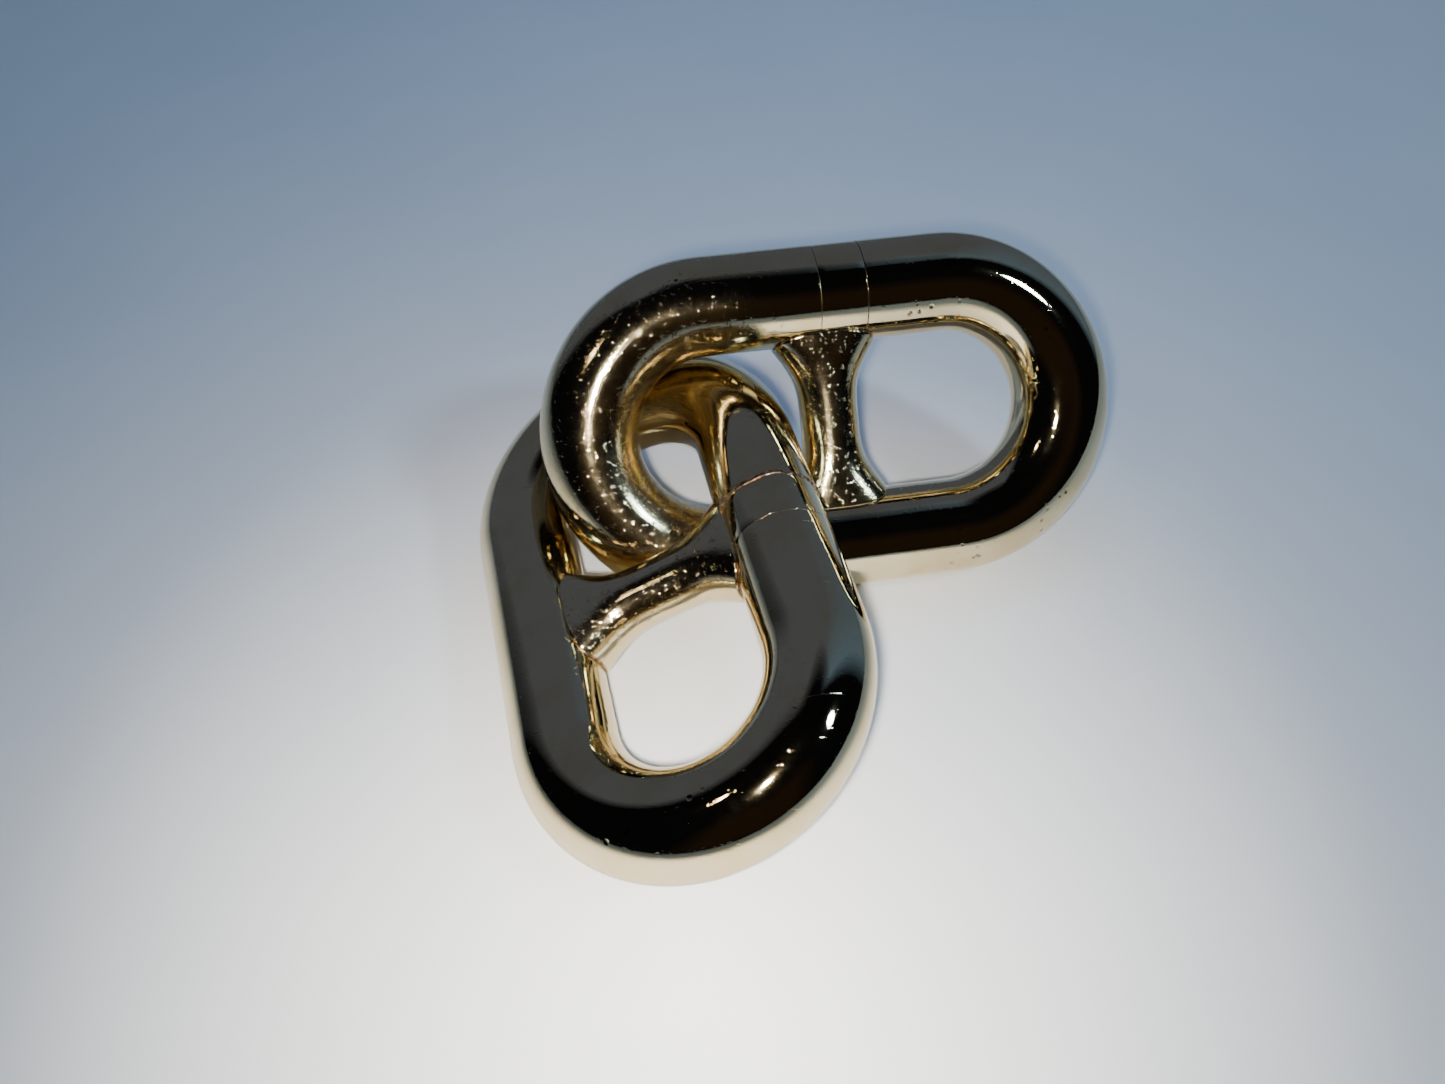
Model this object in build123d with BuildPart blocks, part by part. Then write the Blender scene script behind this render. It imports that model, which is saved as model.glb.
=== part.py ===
"""Two interlocked stud links, each a closed bar with a cross stud, lying on a table."""
from build123d import *
import math
import os

os.makedirs("parts", exist_ok=True)

# ---------------------------------------------------------------- driving sizes (mm)
bar_diameter = 18.0          # round bar both links are bent from
eye_width = 27.6             # clear width inside the link, between its two long sides
eye_length = 71.0            # clear length inside the link, crown to crown

plug_length = 8.2            # short piece that closes the cut in one long side
plug_offset_a = 3.1          # link A's plug centre, along the link from its stud
plug_offset_b = 1.3          # link B's plug centre, along the link from its stud
plug_end_radius = 0.5        # soft edge round each end of the plug
bar_end_radius = 0.25        # soft edge round each cut end of the bar
braze_thickness = 0.25       # filler metal between the plug and the bar
braze_recess = 0.15          # how far the filler stays below the bar's surface

waist_width = 11.0           # stud's diameter at the middle
foot_width = 19.4            # stud's foot, along the bar, where it meets the bar
foot_height = 13.4           # stud's foot, across the bar, where it meets the bar
foot_film = 0.15             # filler metal between the stud's foot and the bar
film_inset = 0.5             # how far that filler stays inside the foot's outline

link_clearance = 0.36        # least gap between the two links
crossing_angle = 85.5        # between the long sides that cross, seen from above
waist_clearance = 1.3        # link B's upper side beside link A's stud
stud_standoff = 2.6          # link A's lower side beside link B's stud centre line

# ---------------------------------------------------------------- worked-out sizes
bar_radius = bar_diameter / 2
bend_radius = (eye_width + bar_diameter) / 2             # of the bar's centre line
half_straight = (eye_length - eye_width) / 2             # half of each long side


# ---------------------------------------------------------------- how the links lie
def link_plane(yaw, tilt, centre_x, centre_y):
    """Frame of a link: X along it, Y along its stud, lower long side on the table."""
    yaw_r = math.radians(yaw)
    tilt_r = math.radians(tilt)
    along = Vector(math.cos(yaw_r), math.sin(yaw_r), 0)
    flat = Vector(-math.sin(yaw_r), math.cos(yaw_r), 0)
    stud_way = flat * math.cos(tilt_r) + Vector(0, 0, 1) * math.sin(tilt_r)
    centre = Vector(centre_x, centre_y, bar_radius + bend_radius * math.sin(tilt_r))
    return Plane(origin=centre, x_dir=along, z_dir=along.cross(stud_way))


def centre_line(link, count):
    """Points along the bar's centre line, right round the link."""
    points = []
    for step in range(count):
        turn = 2 * math.pi * step / count
        shift = half_straight if math.cos(turn) > 0 else -half_straight
        x = shift + bend_radius * math.cos(turn)
        y = bend_radius * math.sin(turn)
        points.append(link.from_local_coords(Vector(x, y, 0)))
    return points


def least_distance(points_a, points_b):
    """Shortest distance between two sets of points."""
    return min((a - b).length for a in points_a for b in points_b)


def resting_tilt(leaning_at, other_line):
    """Tilt at which a link, laid down over its lower side, first meets the other link."""
    low, high = 20.0, 85.0
    for _ in range(14):
        middle = (low + high) / 2
        line = centre_line(leaning_at(middle), 120)
        if least_distance(line, other_line) < bar_diameter + link_clearance:
            low = middle
        else:
            high = middle
    return high


# link A's lower side lies along the X axis; link B's upper side rests across it
rise = bar_diameter + link_clearance
tilt_b = math.degrees(math.asin(rise / (2 * bend_radius)))
yaw_b = -crossing_angle
cross_a = bar_radius + waist_width / 2 + waist_clearance   # from link A's stud, along A
cross_b = bar_radius + stud_standoff                       # from link B's stud, along B

yaw_b_r = math.radians(yaw_b)
reach_b = bend_radius * math.cos(math.radians(tilt_b))
centre_b_x = -cross_a + cross_b * math.cos(yaw_b_r) + reach_b * math.sin(yaw_b_r)
centre_b_y = cross_b * math.sin(yaw_b_r) - reach_b * math.cos(yaw_b_r)
laid_b = link_plane(yaw_b, tilt_b, centre_b_x, centre_b_y)


def laid_a_at(tilt):
    """Link A's frame at a given tilt, its lower side on the X axis."""
    return link_plane(0, tilt, 0, bend_radius * math.cos(math.radians(tilt)))


tilt_a = resting_tilt(laid_a_at, centre_line(laid_b, 120))
laid_a = laid_a_at(tilt_a)


def half_span(link, direction):
    """Half of a link's overall size along a world direction."""
    lengthwise = abs(link.x_dir.dot(direction))
    sideways = abs(link.y_dir.dot(direction))
    return half_straight * lengthwise + bend_radius * math.hypot(lengthwise, sideways) + bar_radius


def footprint_middle(direction):
    """Middle of the two links' overall size along a world direction."""
    low = min(link.origin.dot(direction) - half_span(link, direction) for link in (laid_a, laid_b))
    high = max(link.origin.dot(direction) + half_span(link, direction) for link in (laid_a, laid_b))
    return (low + high) / 2


# the origin is on the table, under the middle of the whole object
to_origin = Vector(-footprint_middle(Vector(1, 0, 0)), -footprint_middle(Vector(0, 1, 0)), 0)
link_a = Plane(origin=laid_a.origin + to_origin, x_dir=laid_a.x_dir, z_dir=laid_a.z_dir)
# link B is the same link turned over, so its plug points the other way
link_b = Plane(origin=laid_b.origin + to_origin, x_dir=-laid_b.x_dir, z_dir=-laid_b.z_dir)


# ---------------------------------------------------------------- planes within a link
def across_bar(link, x, y):
    """Plane that cuts the bar squarely, at a place on one of its long sides."""
    return Plane(origin=link.from_local_coords(Vector(x, y, 0)), x_dir=link.y_dir, z_dir=link.x_dir)


def across_stud(link, y):
    """Plane that cuts the stud squarely, at a distance from the link's centre."""
    return Plane(origin=link.from_local_coords(Vector(0, y, 0)), x_dir=link.x_dir, z_dir=link.y_dir)


# ---------------------------------------------------------------- pieces of one link
def make_bar(link, plug_start):
    """The open ring: one round bar bent into a link, cut where the plug goes."""
    gap_from = plug_start - braze_thickness
    gap_to = plug_start + plug_length + braze_thickness
    with BuildPart() as bar:
        with BuildLine(link):
            Line((gap_to, bend_radius), (half_straight, bend_radius))
            CenterArc((half_straight, 0), bend_radius, 90, -180)
            Line((half_straight, -bend_radius), (-half_straight, -bend_radius))
            CenterArc((-half_straight, 0), bend_radius, -90, -180)
            Line((-half_straight, bend_radius), (gap_from, bend_radius))
        with BuildSketch(across_bar(link, gap_to, bend_radius)):
            Circle(bar_radius)
        sweep()
        end_faces = bar.faces().filter_by(GeomType.PLANE)
        fillet(end_faces.edges(), bar_end_radius)
    return bar


def make_plug(link, plug_start):
    """The closing plug: a short length of the same bar with softened ends."""
    with BuildPart() as plug:
        with BuildSketch(across_bar(link, plug_start, bend_radius)):
            Circle(bar_radius)
        extrude(amount=plug_length)
        end_faces = plug.faces().filter_by(GeomType.PLANE)
        fillet(end_faces.edges(), plug_end_radius)
    return plug


def make_seam_braze(link, x):
    """A disc of filler metal in one of the two seams beside the plug."""
    with BuildPart() as braze:
        with BuildSketch(across_bar(link, x, bend_radius)):
            Circle(bar_radius - plug_end_radius - braze_recess)
        extrude(amount=braze_thickness)
    return braze


def rounded_outline(half_width, half_height, squareness, count=24):
    """Points round a smooth closed outline, from an ellipse towards a rounded square."""
    points = []
    power = 2 / squareness
    for step in range(count):
        turn = 2 * math.pi * step / count
        x = math.copysign(abs(math.cos(turn)) ** power, math.cos(turn))
        y = math.copysign(abs(math.sin(turn)) ** power, math.sin(turn))
        points.append((half_width * x, half_height * y))
    return points


def stud_sections(link, first, last, inset):
    """Outlines of a stud between two distances from the link's centre, along the stud."""
    inner_face = bend_radius - bar_radius
    buried_end = bend_radius - bar_radius * 0.2
    full_flare = flare_at(buried_end / inner_face)
    count = 15
    for step in range(count):
        distance = first + (last - first) * step / (count - 1)
        flare = flare_at(abs(distance) / inner_face)
        width = waist_width + (foot_width - waist_width) * flare
        height = waist_width + (foot_height - waist_width) * flare / full_flare
        squareness = 2 + 0.8 * flare
        yield distance, rounded_outline(width / 2 - inset, height / 2 - inset, squareness)


def flare_at(share):
    """Flare of the stud: 0 at its waist, 1 where it meets the bar, more on the saddle."""
    return 2 * share**4 / (1 + share**4)


def make_stud(link):
    """The cross stud: a waisted post whose flared feet are saddled onto the bar."""
    buried_end = bend_radius - bar_radius * 0.2
    with BuildPart() as stud:
        for distance, outline in stud_sections(link, -buried_end, buried_end, 0):
            with BuildSketch(across_stud(link, distance)):
                with BuildLine():
                    Spline(outline, periodic=True)
                make_face()
        loft()
        for side in (-1, 1):
            with BuildSketch(across_bar(link, -foot_width, side * bend_radius)):
                Circle(bar_radius + foot_film)
            extrude(amount=2 * foot_width, mode=Mode.SUBTRACT)
    return stud


def make_foot_film(link, side):
    """The thin saddle of filler metal that holds one foot of the stud to the bar."""
    buried_end = bend_radius - bar_radius * 0.2
    film_from = side * (bend_radius - bar_radius) * 0.8
    with BuildPart() as film:
        for distance, outline in stud_sections(link, film_from, side * buried_end, film_inset):
            with BuildSketch(across_stud(link, distance)):
                with BuildLine():
                    Spline(outline, periodic=True)
                make_face()
        loft()
        with BuildSketch(across_bar(link, -foot_width, side * bend_radius)):
            Circle(bar_radius + foot_film)
        extrude(amount=2 * foot_width, mode=Mode.INTERSECT)
        with BuildSketch(across_bar(link, -foot_width, side * bend_radius)):
            Circle(bar_radius)
        extrude(amount=2 * foot_width, mode=Mode.SUBTRACT)
    return film


# ---------------------------------------------------------------- both links
def make_link(link, name, plug_offset):
    """Every piece of one link, by node name."""
    plug_start = plug_offset - plug_length / 2
    return {
        f"{name}_bar": make_bar(link, plug_start),
        f"{name}_closing_plug": make_plug(link, plug_start),
        f"{name}_seam_braze_1": make_seam_braze(link, plug_start - braze_thickness),
        f"{name}_seam_braze_2": make_seam_braze(link, plug_start + plug_length),
        f"{name}_stud": make_stud(link),
        f"{name}_foot_braze_low": make_foot_film(link, -1),
        f"{name}_foot_braze_high": make_foot_film(link, 1),
    }


pieces = make_link(link_a, "link_a", plug_offset_a) | make_link(link_b, "link_b", plug_offset_b)
for node, piece in pieces.items():
    piece.part.label = node
    export_step(piece.part, f"parts/{node}.step")

print("tilt of link A", round(tilt_a, 2), "and link B", round(tilt_b, 2), "degrees")
print("centre of link A", link_a.origin, "link B", link_b.origin)
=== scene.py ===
"""Two interlocked, mirror-polished stud links on a pale table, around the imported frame."""

import math

import bpy
import numpy as np
from mathutils import Matrix, Vector, noise


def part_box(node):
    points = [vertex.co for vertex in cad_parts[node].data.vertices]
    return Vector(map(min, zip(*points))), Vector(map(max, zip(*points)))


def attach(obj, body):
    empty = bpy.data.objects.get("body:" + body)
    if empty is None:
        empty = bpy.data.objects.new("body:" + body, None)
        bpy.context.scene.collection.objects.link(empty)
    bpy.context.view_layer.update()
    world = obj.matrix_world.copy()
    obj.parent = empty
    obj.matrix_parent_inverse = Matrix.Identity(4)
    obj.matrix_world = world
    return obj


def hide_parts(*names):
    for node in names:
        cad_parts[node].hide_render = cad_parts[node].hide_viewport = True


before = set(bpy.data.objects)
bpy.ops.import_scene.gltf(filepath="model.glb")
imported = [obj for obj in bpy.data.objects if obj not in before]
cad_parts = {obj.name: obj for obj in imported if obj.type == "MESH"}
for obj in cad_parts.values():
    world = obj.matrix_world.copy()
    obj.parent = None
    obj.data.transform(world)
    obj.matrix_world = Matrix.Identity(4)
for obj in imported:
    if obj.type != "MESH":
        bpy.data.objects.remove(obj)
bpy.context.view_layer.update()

MM = 0.001
LINKS = ("link_a", "link_b")


# ------------------------------------------------------------------ reading the frame
def box_centre(node):
    low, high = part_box(node)
    return (low + high) / 2


def box_size(node):
    low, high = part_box(node)
    return high - low


class Link:
    """Where one link lies and how big it is, read from its CAD nodes."""

    def __init__(self, name):
        self.name = name
        self.centre = box_centre(f"{name}_bar")
        seam_1 = box_centre(f"{name}_seam_braze_1")
        seam_2 = box_centre(f"{name}_seam_braze_2")
        self.along = (seam_2 - seam_1).normalized()
        plug = (seam_1 + seam_2) / 2 - self.centre
        self.plug_middle = plug.dot(self.along)
        self.seam_span = (seam_2 - seam_1).length
        across = plug - self.along * self.plug_middle
        self.bend = across.length
        self.across = across.normalized()
        self.normal = self.along.cross(self.across)
        self.radius = box_size(f"{name}_closing_plug").z / 2
        self.worn_end = -1 if name == "link_a" else 0
        self.matrix = Matrix(
            (
                (self.along.x, self.across.x, self.normal.x, self.centre.x),
                (self.along.y, self.across.y, self.normal.y, self.centre.y),
                (self.along.z, self.across.z, self.normal.z, self.centre.z),
                (0, 0, 0, 1),
            )
        )

    def wear(self, place, inside):
        """How little polish a place on the ring has: most inside the eye of the worn end."""
        end = step_up(place.x * self.worn_end, 2 * MM, 26 * MM)
        low = step_up(-place.y, -12 * MM, 8 * MM)
        all_over = 0.28
        in_eye = 0.22 * inside
        in_eye_low_side = 0.42 * inside * low
        return 0.08 * inside + end * (all_over + in_eye + in_eye_low_side)


links = {name: Link(name) for name in LINKS}
radius = links["link_a"].radius
bend = links["link_a"].bend
half_straight = box_size("link_a_bar").x / 2 - bend - radius


# ------------------------------------------------------------------ mesh helpers
def mesh_object(name, points, faces, matrix, smooth=True, flow=None, worn=None):
    """A mesh from points and faces. flow says how far along and around its bar a point is."""
    mesh = bpy.data.meshes.new(name)
    mesh.from_pydata([tuple(p) for p in points], [], faces)
    mesh.validate()
    if flow is not None:
        layer = mesh.attributes.new("flow", "FLOAT_VECTOR", "POINT")
        layer.data.foreach_set("vector", np.array(flow, np.float32).ravel())
        layer = mesh.attributes.new("worn", "FLOAT", "POINT")
        layer.data.foreach_set("value", np.array(worn, np.float32))
    mesh.polygons.foreach_set("use_smooth", [smooth] * len(mesh.polygons))
    mesh.transform(matrix)
    mesh.update()
    piece = bpy.data.objects.new(name, mesh)
    bpy.context.scene.collection.objects.link(piece)
    return piece


def tube_faces(rings, sides):
    """Quads between rings of points, and a fan at each end to a closing point."""
    faces = []
    for i in range(rings - 1):
        for j in range(sides):
            k = (j + 1) % sides
            faces.append((i * sides + j, i * sides + k, (i + 1) * sides + k, (i + 1) * sides + j))
    first, last = rings * sides, rings * sides + 1
    for j in range(sides):
        k = (j + 1) % sides
        faces.append((first, k, j))
        faces.append((last, (rings - 1) * sides + j, (rings - 1) * sides + k))
    return faces


def wobble(point, scale, seed):
    """Smooth noise of about -1 to 1 at a place, its lumps about scale across."""
    return noise.noise(Vector(point) / scale + Vector((seed, 2 * seed, -seed)))


def end_spacing(length, step, fine, reach):
    """Distances from 0 to length: fine steps within reach of both ends, step between."""
    near = list(np.linspace(0, reach, max(3, int(reach / fine) + 1)))
    middle = list(np.linspace(reach, length - reach, max(2, int(length / step)))[1:-1])
    return near + middle + [length - d for d in reversed(near)]


# ------------------------------------------------------------------ the ring
def ring_point(distance):
    """Centre line of a closed link from the middle of its high side: point and outward."""
    arc = math.pi * bend
    total = 4 * half_straight + 2 * arc
    s = distance % total
    if s < half_straight:
        return Vector((s, bend, 0)), Vector((0, 1, 0))
    s -= half_straight
    if s < arc:
        turn = math.pi / 2 - s / bend
        out = Vector((math.cos(turn), math.sin(turn), 0))
        return Vector((half_straight, 0, 0)) + out * bend, out
    s -= arc
    if s < 2 * half_straight:
        return Vector((half_straight - s, -bend, 0)), Vector((0, -1, 0))
    s -= 2 * half_straight
    if s < arc:
        turn = -math.pi / 2 - s / bend
        out = Vector((math.cos(turn), math.sin(turn), 0))
        return Vector((-half_straight, 0, 0)) + out * bend, out
    s -= arc
    return Vector((-half_straight + s, bend, 0)), Vector((0, 1, 0))


def step_up(value, low, high):
    """0 below low, 1 above high, smooth between."""
    t = min(1.0, max(0.0, (value - low) / (high - low)))
    return t * t * (3 - 2 * t)


def swept_round(name, link, start, length, edge, wave, seed, roll=0.0, sides=96, step=0.9 * MM):
    """A stretch of the round bar, with softened ends and the faint waviness of polishing."""
    stations = end_spacing(length, step, edge / 4, edge * 1.2)
    points, flow, worn = [], [], []
    for d in stations:
        middle, out = ring_point(start + d)
        from_end = min(d, length - d)
        lost = edge - math.sqrt(max(0.0, edge**2 - max(0.0, edge - from_end) ** 2))
        lost += roll * max(0.0, 1 - from_end / ROLL_REACH) ** 2
        for j in range(sides):
            turn = 2 * math.pi * j / sides
            way = out * math.cos(turn) + Vector((0, 0, math.sin(turn)))
            place = middle + way * radius
            dip = wave * (0.5 + 0.35 * wobble(place, 11 * MM, seed))
            dip += wave * 0.4 * (0.5 + 0.5 * wobble(place, 4.5 * MM, seed + 7))
            points.append(middle + way * (radius - lost - dip))
            flow.append((start + d, radius * turn, seed * MM))
            inside = step_up(-math.cos(turn), 0.1, 0.9)
            worn.append(link.wear(place, inside))
    for end in (start, start + length):
        points.append(ring_point(end)[0])
        flow.append((end, 0, 0))
        worn.append(0.0)
    faces = tube_faces(len(stations), sides)
    return mesh_object(name, points, faces, link.matrix, flow=flow, worn=worn)


SEAM_GAP = 0.08 * MM         # slit left between the plug and the ring
SEAM_EDGE = 0.07 * MM        # rounding of the edges at that slit
RING_WAVE = 0.05 * MM        # how deep the polisher's waviness goes
PLUG_WAVE = 0.09 * MM
RING_ROLL = 0.012 * MM       # how far the ends fall away towards the slit
PLUG_ROLL = 0.05 * MM
ROLL_REACH = 1.4 * MM
BEAD_TOP = 0.15 * MM         # the most that filler metal stands above the bar


def make_ring(link, seed):
    """The bar from one side of the plug right round to the other."""
    gap = link.seam_span + SEAM_GAP
    total = 4 * half_straight + 2 * math.pi * bend
    start = link.plug_middle + gap / 2
    name = f"{link.name}_ring"
    return swept_round(name, link, start, total - gap, SEAM_EDGE, RING_WAVE, seed, RING_ROLL)


def make_plug(link, seed):
    """The closing plug, dressed flush with the bar but rolled off a little at its ends."""
    length = link.seam_span - SEAM_GAP
    start = link.plug_middle - length / 2
    name = f"{link.name}_plug"
    fine = 0.2 * MM
    return swept_round(name, link, start, length, SEAM_EDGE, PLUG_WAVE, seed, PLUG_ROLL, step=fine)


# across a seam: share of its half width, and how much lower than its crest it lies (mm)
SEAM_PROFILE = (
    (-1.0, 0.50),
    (-0.8, 0.15),
    (-0.4, 0.04),
    (0.0, 0.0),
    (0.4, 0.04),
    (0.8, 0.15),
    (1.0, 0.50),
)


def make_seam(link, seam_node, seed, half_width, sink, bead_height, sides=220):
    """Filler metal in a seam: a thin uneven ring near the bar's surface, wandering if beaded."""
    middle = box_centre(seam_node) - link.centre
    x = middle.dot(link.along)
    wander = bead_height * 1.1
    points = []
    for share, depth in SEAM_PROFILE:
        for j in range(sides):
            turn = 2 * math.pi * j / sides
            way = Vector((0, math.cos(turn), math.sin(turn)))
            place = way * radius
            lump = wobble(place, 1.1 * MM, seed)
            bead = (0.5 + wobble(place, 0.9 * MM, seed + 3)) * bead_height
            low = sink + depth * MM + 0.04 * MM * lump
            reach = radius - max(-BEAD_TOP, low - bead)
            drift = wander * wobble(place, 4 * MM, seed + 9)
            shift = half_width * share * (1 + 0.25 * lump) + drift
            points.append(Vector((x + shift, bend, 0)) + way * reach)
    points.append(Vector((x - half_width * 0.5, bend, 0)))
    points.append(Vector((x + half_width * 0.5, bend, 0)))
    faces = tube_faces(len(SEAM_PROFILE), sides)
    return mesh_object(f"{seam_node}_bead", points, faces, link.matrix)


# ------------------------------------------------------------------ the stud
inner_face = bend - radius
foot_width = box_size("link_a_stud").x
WAIST = 11.0 * MM            # stud's diameter at the middle
FOOT_HEIGHT = 13.4 * MM      # stud's foot, across the bar
FOOT_RIM = 0.55 * MM         # rounding of the foot's edge
FOOT_GAP = 0.22 * MM         # from the foot to the bar


def flare_at(share):
    """How far the stud has widened: 0 at its middle, 1 where it would meet the bar."""
    return 2 * share**4 / (1 + share**4)


def stud_outline(distance, turn):
    """Half width and half height of the stud at a distance from its middle."""
    flare = flare_at(abs(distance) / inner_face)
    full = flare_at((bend - radius * 0.2) / inner_face)
    half_width = (WAIST + (foot_width - WAIST) * flare) / 2
    half_height = (WAIST + (FOOT_HEIGHT - WAIST) * flare / full) / 2
    power = 2 / (2 + 0.8 * flare)
    c, s = math.cos(turn), math.sin(turn)
    x = half_width * math.copysign(abs(c) ** power, c)
    z = half_height * math.copysign(abs(s) ** power, s)
    return x, z


def foot_limit(turn, saddle):
    """How far along the stud its side goes before it meets the saddle on the bar."""
    y = inner_face
    for _ in range(30):
        x, z = stud_outline(y, turn)
        y = 0.5 * y + 0.5 * (bend - math.sqrt(max(0.0, saddle**2 - z**2)))
    return y


def foot_cap(points, first, sides, side, saddle):
    """Closes an end of the stud with a hollow that follows the bar. Adds points, gives faces."""
    faces = []

    def facing(*corners):
        faces.append(corners if side < 0 else tuple(reversed(corners)))

    edge = list(range(first, first + sides))
    for inset in (0.75, 0.5, 0.25):
        ring = []
        for j in range(sides):
            rim_point = points[first + j]
            z = rim_point.z * inset
            y = side * (bend - math.sqrt(saddle**2 - z**2))
            ring.append(len(points))
            points.append(Vector((rim_point.x * inset, y, z)))
        for j in range(sides):
            k = (j + 1) % sides
            facing(edge[j], edge[k], ring[k], ring[j])
        edge = ring
    tip = len(points)
    points.append(Vector((0, side * (bend - saddle), 0)))
    for j in range(sides):
        k = (j + 1) % sides
        facing(edge[j], edge[k], tip)
    return faces


def make_stud(link, seed, sides=120, rings=110):
    """The cross stud: round at its waist, with wide feet hollowed to sit on the bar."""
    saddle = radius + FOOT_GAP
    limits = [foot_limit(2 * math.pi * j / sides, saddle) for j in range(sides)]
    points, flow = [], []
    for angle in np.linspace(-math.pi / 2, math.pi / 2, rings):
        share = math.sin(angle)
        for j in range(sides):
            turn = 2 * math.pi * j / sides
            y = limits[j] * share
            x, z = stud_outline(y, turn)
            from_end = limits[j] * (1 - abs(share))
            lost = FOOT_RIM - math.sqrt(max(0.0, FOOT_RIM**2 - max(0.0, FOOT_RIM - from_end) ** 2))
            place = Vector((x, y, z))
            dip = 0.10 * MM * (0.5 + 0.35 * wobble(place, 7 * MM, seed))
            dip += 0.02 * MM * (0.5 + 0.5 * wobble(place, 1.6 * MM, seed + 5))
            size = math.hypot(x, z)
            shrink = (size - lost - dip) / size
            points.append(Vector((x * shrink, y, z * shrink)))
            flow.append((y, WAIST / 2 * turn, seed * MM))
    worn = [0.6] * len(points)
    faces = []
    for i in range(rings - 1):
        for j in range(sides):
            k = (j + 1) % sides
            faces.append((i * sides + k, i * sides + j, (i + 1) * sides + j, (i + 1) * sides + k))
    faces += foot_cap(points, 0, sides, -1, saddle)
    faces += foot_cap(points, (rings - 1) * sides, sides, 1, saddle)
    flow += [(0, 0, 0)] * (len(points) - len(flow))
    worn += [1.0] * (len(points) - len(worn))
    name = f"{link.name}_cross_stud"
    return mesh_object(name, points, faces, link.matrix, flow=flow, worn=worn)


# ------------------------------------------------------------------ materials
def new_material(name):
    material = bpy.data.materials.new(name)
    material.use_nodes = True
    tree = material.node_tree
    shader = next(n for n in tree.nodes if n.type == "BSDF_PRINCIPLED")
    return material, tree, shader


def node(tree, kind, **settings):
    made = tree.nodes.new(kind)
    for key, value in settings.items():
        if key.startswith("in_"):
            made.inputs[key[3:].replace("_", " ")].default_value = value
        else:
            setattr(made, key, value)
    return made


def ramp(tree, source, low, high, from_low, from_high):
    """A value read from one range into another, clamped."""
    made = node(tree, "ShaderNodeMapRange")
    made.clamp = True
    tree.links.new(source, made.inputs["Value"])
    made.inputs["From Min"].default_value = from_low
    made.inputs["From Max"].default_value = from_high
    made.inputs["To Min"].default_value = low
    made.inputs["To Max"].default_value = high
    return made.outputs["Result"]


def maths(tree, operation, first, second):
    """Two values, each a number or a socket, put together."""
    made = node(tree, "ShaderNodeMath", operation=operation)
    for socket, value in zip(made.inputs, (first, second)):
        if isinstance(value, (int, float)):
            socket.default_value = value
        else:
            tree.links.new(value, socket)
    return made.outputs["Value"]


def blend(tree, factor, low, high):
    """One colour into another, each a colour or a socket."""
    mix = node(tree, "ShaderNodeMix", data_type="RGBA")
    for socket, value in (("A", low), ("B", high)):
        if isinstance(value, tuple):
            mix.inputs[socket].default_value = (*value, 1)
        else:
            tree.links.new(value, mix.inputs[socket])
    tree.links.new(factor, mix.inputs["Factor"])
    return mix.outputs["Result"]


def noise_at(tree, source, scale, detail, roughness=0.6, stretch=None):
    """Noise of 0 to 1 at a place, drawn out along an axis where stretch is small."""
    if stretch:
        mapping = node(tree, "ShaderNodeMapping")
        mapping.inputs["Scale"].default_value = stretch
        tree.links.new(source, mapping.inputs["Vector"])
        source = mapping.outputs["Vector"]
    settings = {"in_Scale": scale, "in_Detail": detail, "in_Roughness": roughness}
    made = node(tree, "ShaderNodeTexNoise", **settings)
    tree.links.new(source, made.inputs["Vector"])
    return made.outputs["Fac"]


def casting_pits(tree, where, worn):
    """1 in small scattered pits, more of them where the polish is poor, and 0 elsewhere."""
    cells = node(tree, "ShaderNodeTexVoronoi", in_Scale=520.0, in_Randomness=1.0)
    tree.links.new(where, cells.inputs["Vector"])
    shape = ramp(tree, cells.outputs["Distance"], 1.0, 0.0, 0.08, 0.28)
    share = maths(tree, "ADD", noise_at(tree, where, 75.0, 2.0), maths(tree, "MULTIPLY", worn, 0.10))
    return maths(tree, "MULTIPLY", shape, ramp(tree, share, 0.0, 1.0, 0.63, 0.71))


def plate_relief(tree, where, flow, worn, pit, grain):
    """Normal of the plate: fine grain, dents, hair scratches and pits, one over another."""
    streaks = noise_at(tree, flow, 1.0, 3.0, 0.6, (110.0, 1500.0, 1.0))
    speckle = noise_at(tree, where, 1900.0, 3.0, 0.6)
    hair_noise = noise_at(tree, where, 1.0, 3.0, 0.55, (45.0, 2600.0, 900.0))
    hairs = ramp(tree, hair_noise, 0.0, 1.0, 0.68, 0.73)
    dents = ramp(tree, noise_at(tree, where, 1150.0, 2.0, 0.5), 0.0, 1.0, 0.62, 0.79)
    depth = maths(tree, "MULTIPLY", maths(tree, "ADD", worn, 0.06), grain)
    fine = maths(tree, "MULTIPLY", maths(tree, "ADD", streaks, speckle), depth)
    coarse = maths(tree, "MULTIPLY", dents, depth)
    # height, strength, depth in metres, and whether it goes inwards
    layers = (
        (fine, 1.0, 0.00004, False),
        (coarse, 1.0, 0.00014, False),
        (hairs, 0.35, 0.00002, True),
        (pit, 0.7, 0.00012, True),
    )
    normal = None
    for height, strength, distance, invert in layers:
        bump = node(tree, "ShaderNodeBump", in_Strength=strength, in_Distance=distance)
        bump.invert = invert
        tree.links.new(height, bump.inputs["Height"])
        if normal:
            tree.links.new(normal, bump.inputs["Normal"])
        normal = bump.outputs["Normal"]
    return normal


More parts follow.
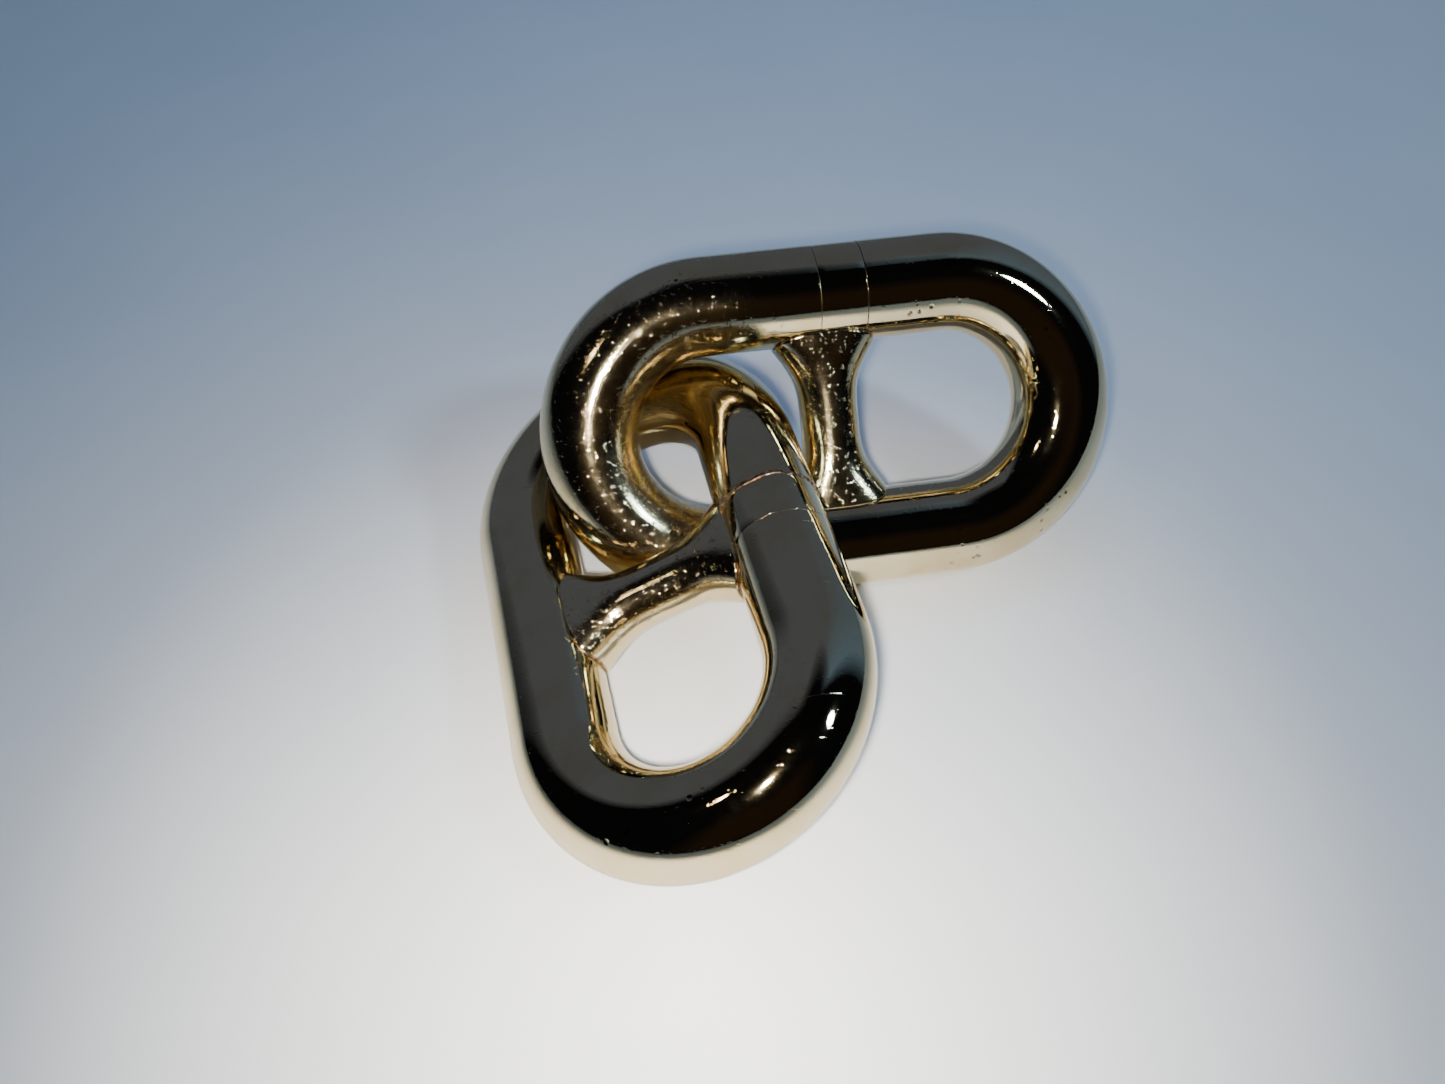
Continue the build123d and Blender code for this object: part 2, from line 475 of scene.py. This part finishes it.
def polished_nickel(name, rough, rougher, grain):
    """Polished plate. It is rough at best, rougher where worn, and grain deepens its relief."""
    material, tree, shader = new_material(name)
    link = tree.links.new
    where = node(tree, "ShaderNodeTexCoord").outputs["Object"]
    flow = node(tree, "ShaderNodeAttribute", attribute_name="flow").outputs["Vector"]
    worn = node(tree, "ShaderNodeAttribute", attribute_name="worn").outputs["Fac"]
    shader.inputs["Metallic"].default_value = 1.0
    pit = casting_pits(tree, where, worn)
    clouds = ramp(tree, noise_at(tree, where, 90.0, 5.0), 0.0, 1.0, 0.42, 0.75)
    tint = blend(tree, clouds, NICKEL, NICKEL_DEEP)
    link(blend(tree, pit, tint, PIT_BROWN), shader.inputs["Base Color"])
    haze = ramp(tree, noise_at(tree, where, 420.0, 6.0, 0.75), 0.75, 1.45, 0.35, 0.70)
    base = maths(tree, "ADD", rough, maths(tree, "MULTIPLY", worn, rougher))
    link(maths(tree, "MULTIPLY", base, haze), shader.inputs["Roughness"])
    link(plate_relief(tree, where, flow, worn, pit, grain), shader.inputs["Normal"])
    return material


def filler_metal(name, hollow_tone_and_painted_shade, lump_tone_and_painted_glint):
    """Filler metal of its own reddish-brown, brighter on its lumps and dull in its hollows: its
    colour carries a painted glint on the lumps and painted shade in the hollows.
    """
    material, tree, shader = new_material(name)
    link = tree.links.new
    where = node(tree, "ShaderNodeTexCoord").outputs["Object"]
    spots = node(tree, "ShaderNodeTexNoise", in_Scale=900.0, in_Detail=5.0, in_Roughness=0.65)
    link(where, spots.inputs["Vector"])
    # colour follows the lump height: painted glints light on the lumps, painted shade dark in the
    # hollows, over the filler's own reddish-brown
    colours = node(tree, "ShaderNodeValToRGB")
    colours.color_ramp.elements[0].color = (*hollow_tone_and_painted_shade, 1)
    colours.color_ramp.elements[1].color = (*lump_tone_and_painted_glint, 1)
    colours.color_ramp.elements[0].position = 0.38
    colours.color_ramp.elements[1].position = 0.66
    link(spots.outputs["Fac"], colours.inputs["Fac"])
    link(colours.outputs["Color"], shader.inputs["Base Color"])
    shader.inputs["Metallic"].default_value = 1.0
    link(ramp(tree, spots.outputs["Fac"], 0.45, 0.18, 0.35, 0.7), shader.inputs["Roughness"])
    bump = node(tree, "ShaderNodeBump", in_Strength=0.8, in_Distance=0.0001)
    link(spots.outputs["Fac"], bump.inputs["Height"])
    link(bump.outputs["Normal"], shader.inputs["Normal"])
    return material


NICKEL = (0.78, 0.64, 0.38)
NICKEL_DEEP = (0.68, 0.52, 0.27)
PIT_BROWN = (0.20, 0.14, 0.09)
bar_metal = polished_nickel("nickel_bar", rough=0.04, rougher=0.20, grain=1.0)
stud_metal = polished_nickel("nickel_stud", rough=0.04, rougher=0.12, grain=0.9)
# filler colours: first the painted shade of the hollows, then the painted glint of the lumps
braze = filler_metal("seam_filler", (0.09, 0.04, 0.022), (0.74, 0.52, 0.36))
fine_braze = filler_metal("fine_seam_filler", (0.09, 0.07, 0.045), (0.30, 0.24, 0.15))


# each seam: half width, how far it lies below the surface, and the height of its beads
SEAMS = {
    "link_a_seam_braze_1": (0.09 * MM, 0.10 * MM, 0.00 * MM),
    "link_a_seam_braze_2": (0.09 * MM, 0.10 * MM, 0.00 * MM),
    "link_b_seam_braze_1": (0.13 * MM, 0.06 * MM, 0.00 * MM),
    "link_b_seam_braze_2": (0.46 * MM, 0.05 * MM, 0.40 * MM),
}


def place(piece, link, material, slot, replaced):
    """Gives a piece its metal and puts it on its link, in place of a CAD node."""
    piece.data.materials.append(material)
    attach(piece, link.name)
    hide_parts(replaced)


for number, link in enumerate(links.values()):
    seed = 3.1 + 11.7 * number
    place(make_ring(link, seed), link, bar_metal, "nickel", f"{link.name}_bar")
    place(make_plug(link, seed + 1), link, bar_metal, "nickel", f"{link.name}_closing_plug")
    place(make_stud(link, seed + 2), link, stud_metal, "nickel", f"{link.name}_stud")
    for seam in (1, 2):
        seam_node = f"{link.name}_seam_braze_{seam}"
        half_width, sink, bead = SEAMS[seam_node]
        filler = make_seam(link, seam_node, seed + 3 * seam, half_width, sink, bead)
        place(filler, link, braze if bead else fine_braze, "braze", seam_node)
    for level in ("low", "high"):
        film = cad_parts[f"{link.name}_foot_braze_{level}"]
        film.data.materials.clear()
        film.data.materials.append(braze)


# ------------------------------------------------------------------ camera
CAMERA_AT = Vector((-38.9, -131.1, 188.5)) * MM
CAMERA_RIGHT = Vector((0.98690, -0.16132, -0.00166))
CAMERA_FORWARD = Vector((0.10177, 0.63054, -0.76946))
camera_data = bpy.data.cameras.new("camera")
camera = bpy.data.objects.new("camera", camera_data)
bpy.context.scene.collection.objects.link(camera)
up = CAMERA_RIGHT.cross(CAMERA_FORWARD).normalized()
back = -CAMERA_FORWARD.normalized()
right = up.cross(back).normalized()
camera.matrix_world = Matrix(
    (
        (right.x, up.x, back.x, CAMERA_AT.x),
        (right.y, up.y, back.y, CAMERA_AT.y),
        (right.z, up.z, back.z, CAMERA_AT.z),
        (0, 0, 0, 1),
    )
)
camera_data.sensor_width = 36.0
camera_data.lens = 30.77
camera_data.clip_start = 0.005
bpy.context.scene.camera = camera


# ------------------------------------------------------------------ table
def make_table():
    """A plain pale surface, faintly mottled."""
    material, tree, shader = new_material("pale_table")
    where = node(tree, "ShaderNodeTexCoord").outputs["Object"]
    mottle = ramp(tree, noise_at(tree, where, 14.0, 4.0), 0.0, 1.0, 0.35, 0.65)
    tint = blend(tree, mottle, (0.80, 0.80, 0.79), (0.76, 0.765, 0.77))
    tree.links.new(tint, shader.inputs["Base Color"])
    shader.inputs["Roughness"].default_value = 0.55
    shader.inputs["Specular IOR Level"].default_value = 0.25
    size = 3.0
    corners = [(-size, -size, 0), (size, -size, 0), (size, size, 0), (-size, size, 0)]
    table = mesh_object("table", corners, [(0, 1, 2, 3)], Matrix.Identity(4), smooth=False)
    table.data.materials.append(material)


make_table()


# ------------------------------------------------------------------ light
def direction(azimuth, elevation):
    """Unit vector: azimuth 0 is straight away from the viewer, 90 to the right."""
    a, e = math.radians(azimuth), math.radians(elevation)
    return Vector((math.sin(a) * math.cos(e), math.cos(a) * math.cos(e), math.sin(e)))


def area_light(name, place_at, target, size, power, colour, size_y=None, spread=180, seen=True):
    """An oval light in watts. spread is its beam in degrees; seen is whether metal mirrors it."""
    data = bpy.data.lights.new(name, "AREA")
    data.shape = "ELLIPSE"
    data.size = size
    data.size_y = size_y or size
    data.energy = power
    data.color = colour
    data.spread = math.radians(spread)
    lamp = bpy.data.objects.new(name, data)
    bpy.context.scene.collection.objects.link(lamp)
    lamp.location = place_at
    lamp.rotation_euler = (target - place_at).to_track_quat("-Z", "Y").to_euler()
    lamp.visible_glossy = seen
    return lamp


WARM = (1.0, 0.96, 0.88)
aim = Vector((0, 0, 20 * MM))
pool = Vector((-32, -60, 0)) * MM
key_at = CAMERA_AT - right * 9 * MM - up * 6 * MM
core_at = key_at + right * 2 * MM
area_light("key", key_at, pool, 0.012, 0.16, WARM, spread=88)
area_light("key_core", core_at, pool, 0.012, 0.10, WARM, spread=58)

window_at = aim + direction(121, 47) * 1.2
area_light("window", window_at, aim, 0.14, 5.2, (0.55, 0.77, 1.0), size_y=0.24)
lamp_at = aim + direction(-107, 53) * 0.7
area_light("lamp", lamp_at, aim, 0.045, 0.12, (1.0, 0.88, 0.68))

fill_at = Vector((0.03, 0.17, 0.34))
fill_target = Vector((0.03, 0.15, 0))
area_light("fill", fill_at, fill_target, 0.25, 0.40, (0.32, 0.54, 1.0), seen=False)


def band(tree, source, low, high, soft):
    """1 between two values and 0 outside them, with soft edges."""
    rise = ramp(tree, source, 0.0, 1.0, low - soft, low + soft)
    fall = ramp(tree, source, 1.0, 0.0, high - soft, high + soft)
    return maths(tree, "MULTIPLY", rise, fall)


WALL_GREY = (0.076, 0.095, 0.152)
WALL_TEAL = (0.090, 0.160, 0.30)
DARK = (0.0030, 0.0034, 0.0055)
GLOW = (0.015, 0.0105, 0.007)


def make_world():
    """The room the metal mirrors: a grey-blue wall behind, a faint warm glow in the dark in front."""
    world = bpy.data.worlds.new("room")
    world.use_nodes = True
    bpy.context.scene.world = world
    tree = world.node_tree
    background = next(n for n in tree.nodes if n.type == "BACKGROUND")
    where = node(tree, "ShaderNodeTexCoord").outputs["Generated"]
    split = node(tree, "ShaderNodeSeparateXYZ")
    tree.links.new(where, split.inputs["Vector"])
    height = split.outputs["Z"]
    azimuth = maths(tree, "ARCTAN2", split.outputs["X"], split.outputs["Y"])
    # 0 straight away from the viewer, pi straight towards them
    from_far_side = maths(tree, "ABSOLUTE", azimuth, 0.0)

    wall_wide = band(tree, azimuth, math.radians(-58), math.radians(82), 0.12)
    wall_high = band(tree, height, -0.4, math.sin(math.radians(73)), 0.03)
    wall = maths(tree, "MULTIPLY", wall_wide, wall_high)
    side = ramp(tree, azimuth, 0.0, 1.0, math.radians(35), math.radians(80))
    room = blend(tree, wall, DARK, blend(tree, side, WALL_GREY, WALL_TEAL))

    glow_wide = band(tree, from_far_side, math.radians(146), math.radians(200), 0.16)
    glow_high = band(tree, height, 0.0, 0.66, 0.12)
    glow = maths(tree, "MULTIPLY", glow_wide, glow_high)
    room = blend(tree, glow, room, GLOW)
    tree.links.new(room, background.inputs["Color"])
    background.inputs["Strength"].default_value = 1.0


make_world()

bpy.context.view_layer.update()
